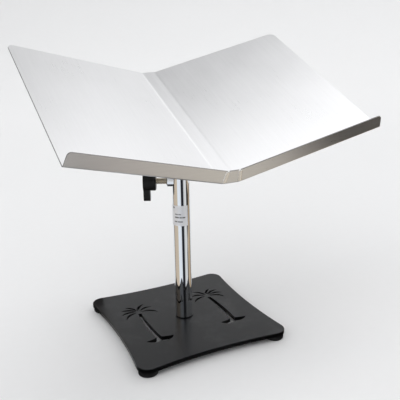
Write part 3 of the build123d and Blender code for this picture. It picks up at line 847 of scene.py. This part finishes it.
bend = np.linspace(0.0, np.pi / 2, BEND_STEPS)
cove_out = np.concatenate([
    np.linspace(0.0, COVE_FLAT, FLOOR_STEPS), COVE_FLOOR + COVE_BEND * np.sin(bend),
    [COVE_FLOOR + COVE_BEND]])
cove_up = np.concatenate([np.zeros(FLOOR_STEPS), COVE_BEND * (1 - np.cos(bend)), [COVE_WALL]])
backdrop = shell("studio_cove", [turned(cove_out, cove_up)])
cove_paint = Finish("cove_paint")
speckle = cove_paint.noise(cove_paint.place(), 90.0, detail=3.0, roughness=0.6)
backdrop.data.materials.append(cove_paint.coat(
    Base_Color=cove_paint.mix(speckle, (0.80, 0.80, 0.80), (0.82, 0.82, 0.82)), Roughness=0.8,
    Specular_IOR_Level=0.1))

# %% [markdown]
# Steel and chrome have hardly any colour of their own: they look like what they mirror. So
# the room is painted as a dome of light with soft round lamps in it. Each lamp is a
# direction, an inner radius in degrees where it is full, an outer one where it has faded,
# and a strength that is added to the plain room. A negative strength is a dark screen.

# %% Paint the dome of light
def towards(azimuth, elevation):
    """A unit direction: azimuth from +Y towards +X, elevation above the floor, in degrees."""
    a, e = np.radians(azimuth), np.radians(elevation)
    return (float(np.cos(e) * np.sin(a)), float(np.cos(e) * np.cos(a)), float(np.sin(e)))


ROOM = 0.72
LAMPS = (
    (towards(54, 43), 6.0, 20.0, 0.86),
    (towards(27, 35), 4.0, 13.0, 0.12),
    (towards(62, 78), 15.0, 25.0, 1.15),
    (towards(26, 55), 5.0, 18.0, -0.40),
    (towards(-125, 48), 10.0, 47.0, 1.05),
)
sky = bpy.data.worlds.new("room")
sky.use_nodes = True
dome = Graph(sky.node_tree)
look = dome.node("ShaderNodeTexCoord", output=0)
strength = ROOM
for lamp, inner, outer, power in LAMPS:
    near = dome.along(look, lamp)
    strength = strength + dome.between(near, np.cos(np.radians(outer)), np.cos(np.radians(inner))) * power
background = dome.tree.nodes["Background"]
feed(background.inputs["Strength"], strength)
feed(background.inputs["Color"], opaque((0.985, 0.99, 1.0)))
bpy.context.scene.world = sky
print("lamps:", len(LAMPS))

# %% [markdown]
# A studio also stands cards round shiny things to give them dark and bright lines. Here four
# glowing cards give painted reflections: one stands close round the chrome tube, one lies to
# its right with the same stripes, a black one lies round the plate, and a long one lies under
# the tray's lip. Only mirrored rays see them, so they leave no shade and can't be seen themselves.

# %% A card that glows by stops of colour
def card(name, grid, measured, stops):
    """A glowing sheet, coloured by stops of a measure from 0 to 1 that is made in its finish."""
    sheet = shell(name, [grid])
    # painted reflection: the card's glow is seen only in mirrored rays
    finish = Finish(name + "_glow")
    glow = finish.node("ShaderNodeValToRGB", {"stops": stops}, {0: measured(finish)})
    sheet.data.materials.append(finish.coat(
        Base_Color=(0.0, 0.0, 0.0), Emission_Color=glow, Emission_Strength=1.0,
        Roughness=1.0, Specular_IOR_Level=0.0))
    sheet.visible_camera = sheet.visible_diffuse = False
    sheet.visible_shadow = sheet.visible_transmission = False


FRONT_TURN = -114.2  # the heading, in degrees from +X, that faces the front left
WIDTH_FROM, WIDTH_TO = -0.25, 0.55


def by_angle(finish):
    """0 to 1 for an angle of -180 to 180 degrees from the direction that faces the front left."""
    spot = finish.place(turn=(0.0, 0.0, np.radians(FRONT_TURN)))
    x, y = [finish.part(spot, axis) for axis in (0, 1)]
    return y.math("ARCTAN2", x) * (0.5 / np.pi) + 0.5


def share_of_width(x):
    """0 at WIDTH_FROM and 1 at WIDTH_TO, in a straight line between."""
    return (x - WIDTH_FROM) * (1 / (WIDTH_TO - WIDTH_FROM))


def by_width(finish):
    """The share of the width at a place's x."""
    return share_of_width(finish.part(finish.place(), 0))


print("cards are measured across from", WIDTH_FROM, "to", WIDTH_TO, "m")

# %% Stand the striped cards round the tube
# painted reflections round the tube, by angle: bright, warm and dark bands
STRIPES = (
    (-112, (0.12, 0.11, 0.10)), (-104, (0.58, 0.49, 0.39)), (-50, (0.64, 0.53, 0.41)),
    (-44, (0.85, 0.90, 0.96)), (-7, (0.80, 0.84, 0.90)), (0, (0.015, 0.015, 0.02)),
    (24, (0.02, 0.02, 0.025)), (30, (0.55, 0.56, 0.57)), (48, (0.80, 0.81, 0.82)),
    (62, (0.72, 0.72, 0.72)), (67, (0.05, 0.045, 0.04)), (74, (0.05, 0.045, 0.04)),
    (80, (0.56, 0.45, 0.33)), (112, (0.44, 0.33, 0.22)), (120, (0.10, 0.08, 0.07)))
stripe_stops = [((angle + 180) / 360, colour) for angle, colour in STRIPES]
CARD_SIDE = 0.102
CARD_HEIGHT = 0.165
CARD_LIFT = 0.0005
SQUARENESS = 8  # 2 would give a circle, and more a squarer square
STANDS_FROM, STANDS_TO, LIES_TO = -118, 69, 126
LIES_AT, LIES_OUT = 0.001, 6.5


def round_the_plate(first, last, height):
    """Points at angles from the front: the radius is that of a square with rounded corners."""
    angle = np.radians(FRONT_TURN + np.linspace(first, last, 95))
    across, along = np.abs(np.cos(angle)), np.abs(np.sin(angle))
    reach = CARD_SIDE / (across**SQUARENESS + along**SQUARENESS) ** (1 / SQUARENESS)
    return np.stack([reach * np.cos(angle), reach * np.sin(angle), np.full_like(angle, height)], axis=-1)


standing = round_the_plate(STANDS_FROM, STANDS_TO, plate_top + CARD_LIFT)
card("tube_card", np.stack([standing, standing + [0.0, 0.0, CARD_HEIGHT]], axis=1), by_angle, stripe_stops)
lying = round_the_plate(STANDS_TO, LIES_TO, LIES_AT)
card("side_card", np.stack([lying, lying * [LIES_OUT, LIES_OUT, 1.0]], axis=1), by_angle, stripe_stops)

# %% Lay the black card round the plate
# painted dark reflection: a black glowing sheet round the plate
SKIRT_END, SKIRT_AT, SKIRT_OUT = 118, 0.0006, 1.6
SKIRT_TONES = ((0.0, (0.01, 0.01, 0.01)), (1.0, (0.012, 0.012, 0.012)))
skirt = round_the_plate(-SKIRT_END, SKIRT_END, SKIRT_AT)
card("skirt_card", np.stack([skirt, skirt * [SKIRT_OUT, SKIRT_OUT, 1.0]], axis=1), by_width, SKIRT_TONES)

# %% Lay the long card under the lip
# painted reflection under the lip: warm grey that fades to black across the width
LIP_TONES = (
    (-0.12, (0.33, 0.31, 0.29)), (0.00, (0.56, 0.51, 0.465)), (0.12, (0.72, 0.67, 0.58)),
    (0.22, (0.60, 0.555, 0.50)), (0.29, (0.22, 0.20, 0.185)), (0.35, (0.02, 0.018, 0.016)))
LIP_CARD_X, LIP_CARD_Y, LIP_CARD_Z = np.array([-0.14, 0.55]), np.array([-0.50, -0.17]), 0.004
sides = np.broadcast_arrays(LIP_CARD_X[:, None], LIP_CARD_Y[None, :], LIP_CARD_Z)
lip_stops = [(share_of_width(x), colour) for x, colour in LIP_TONES]
card("lip_card", np.stack(sides, axis=-1), by_width, lip_stops)
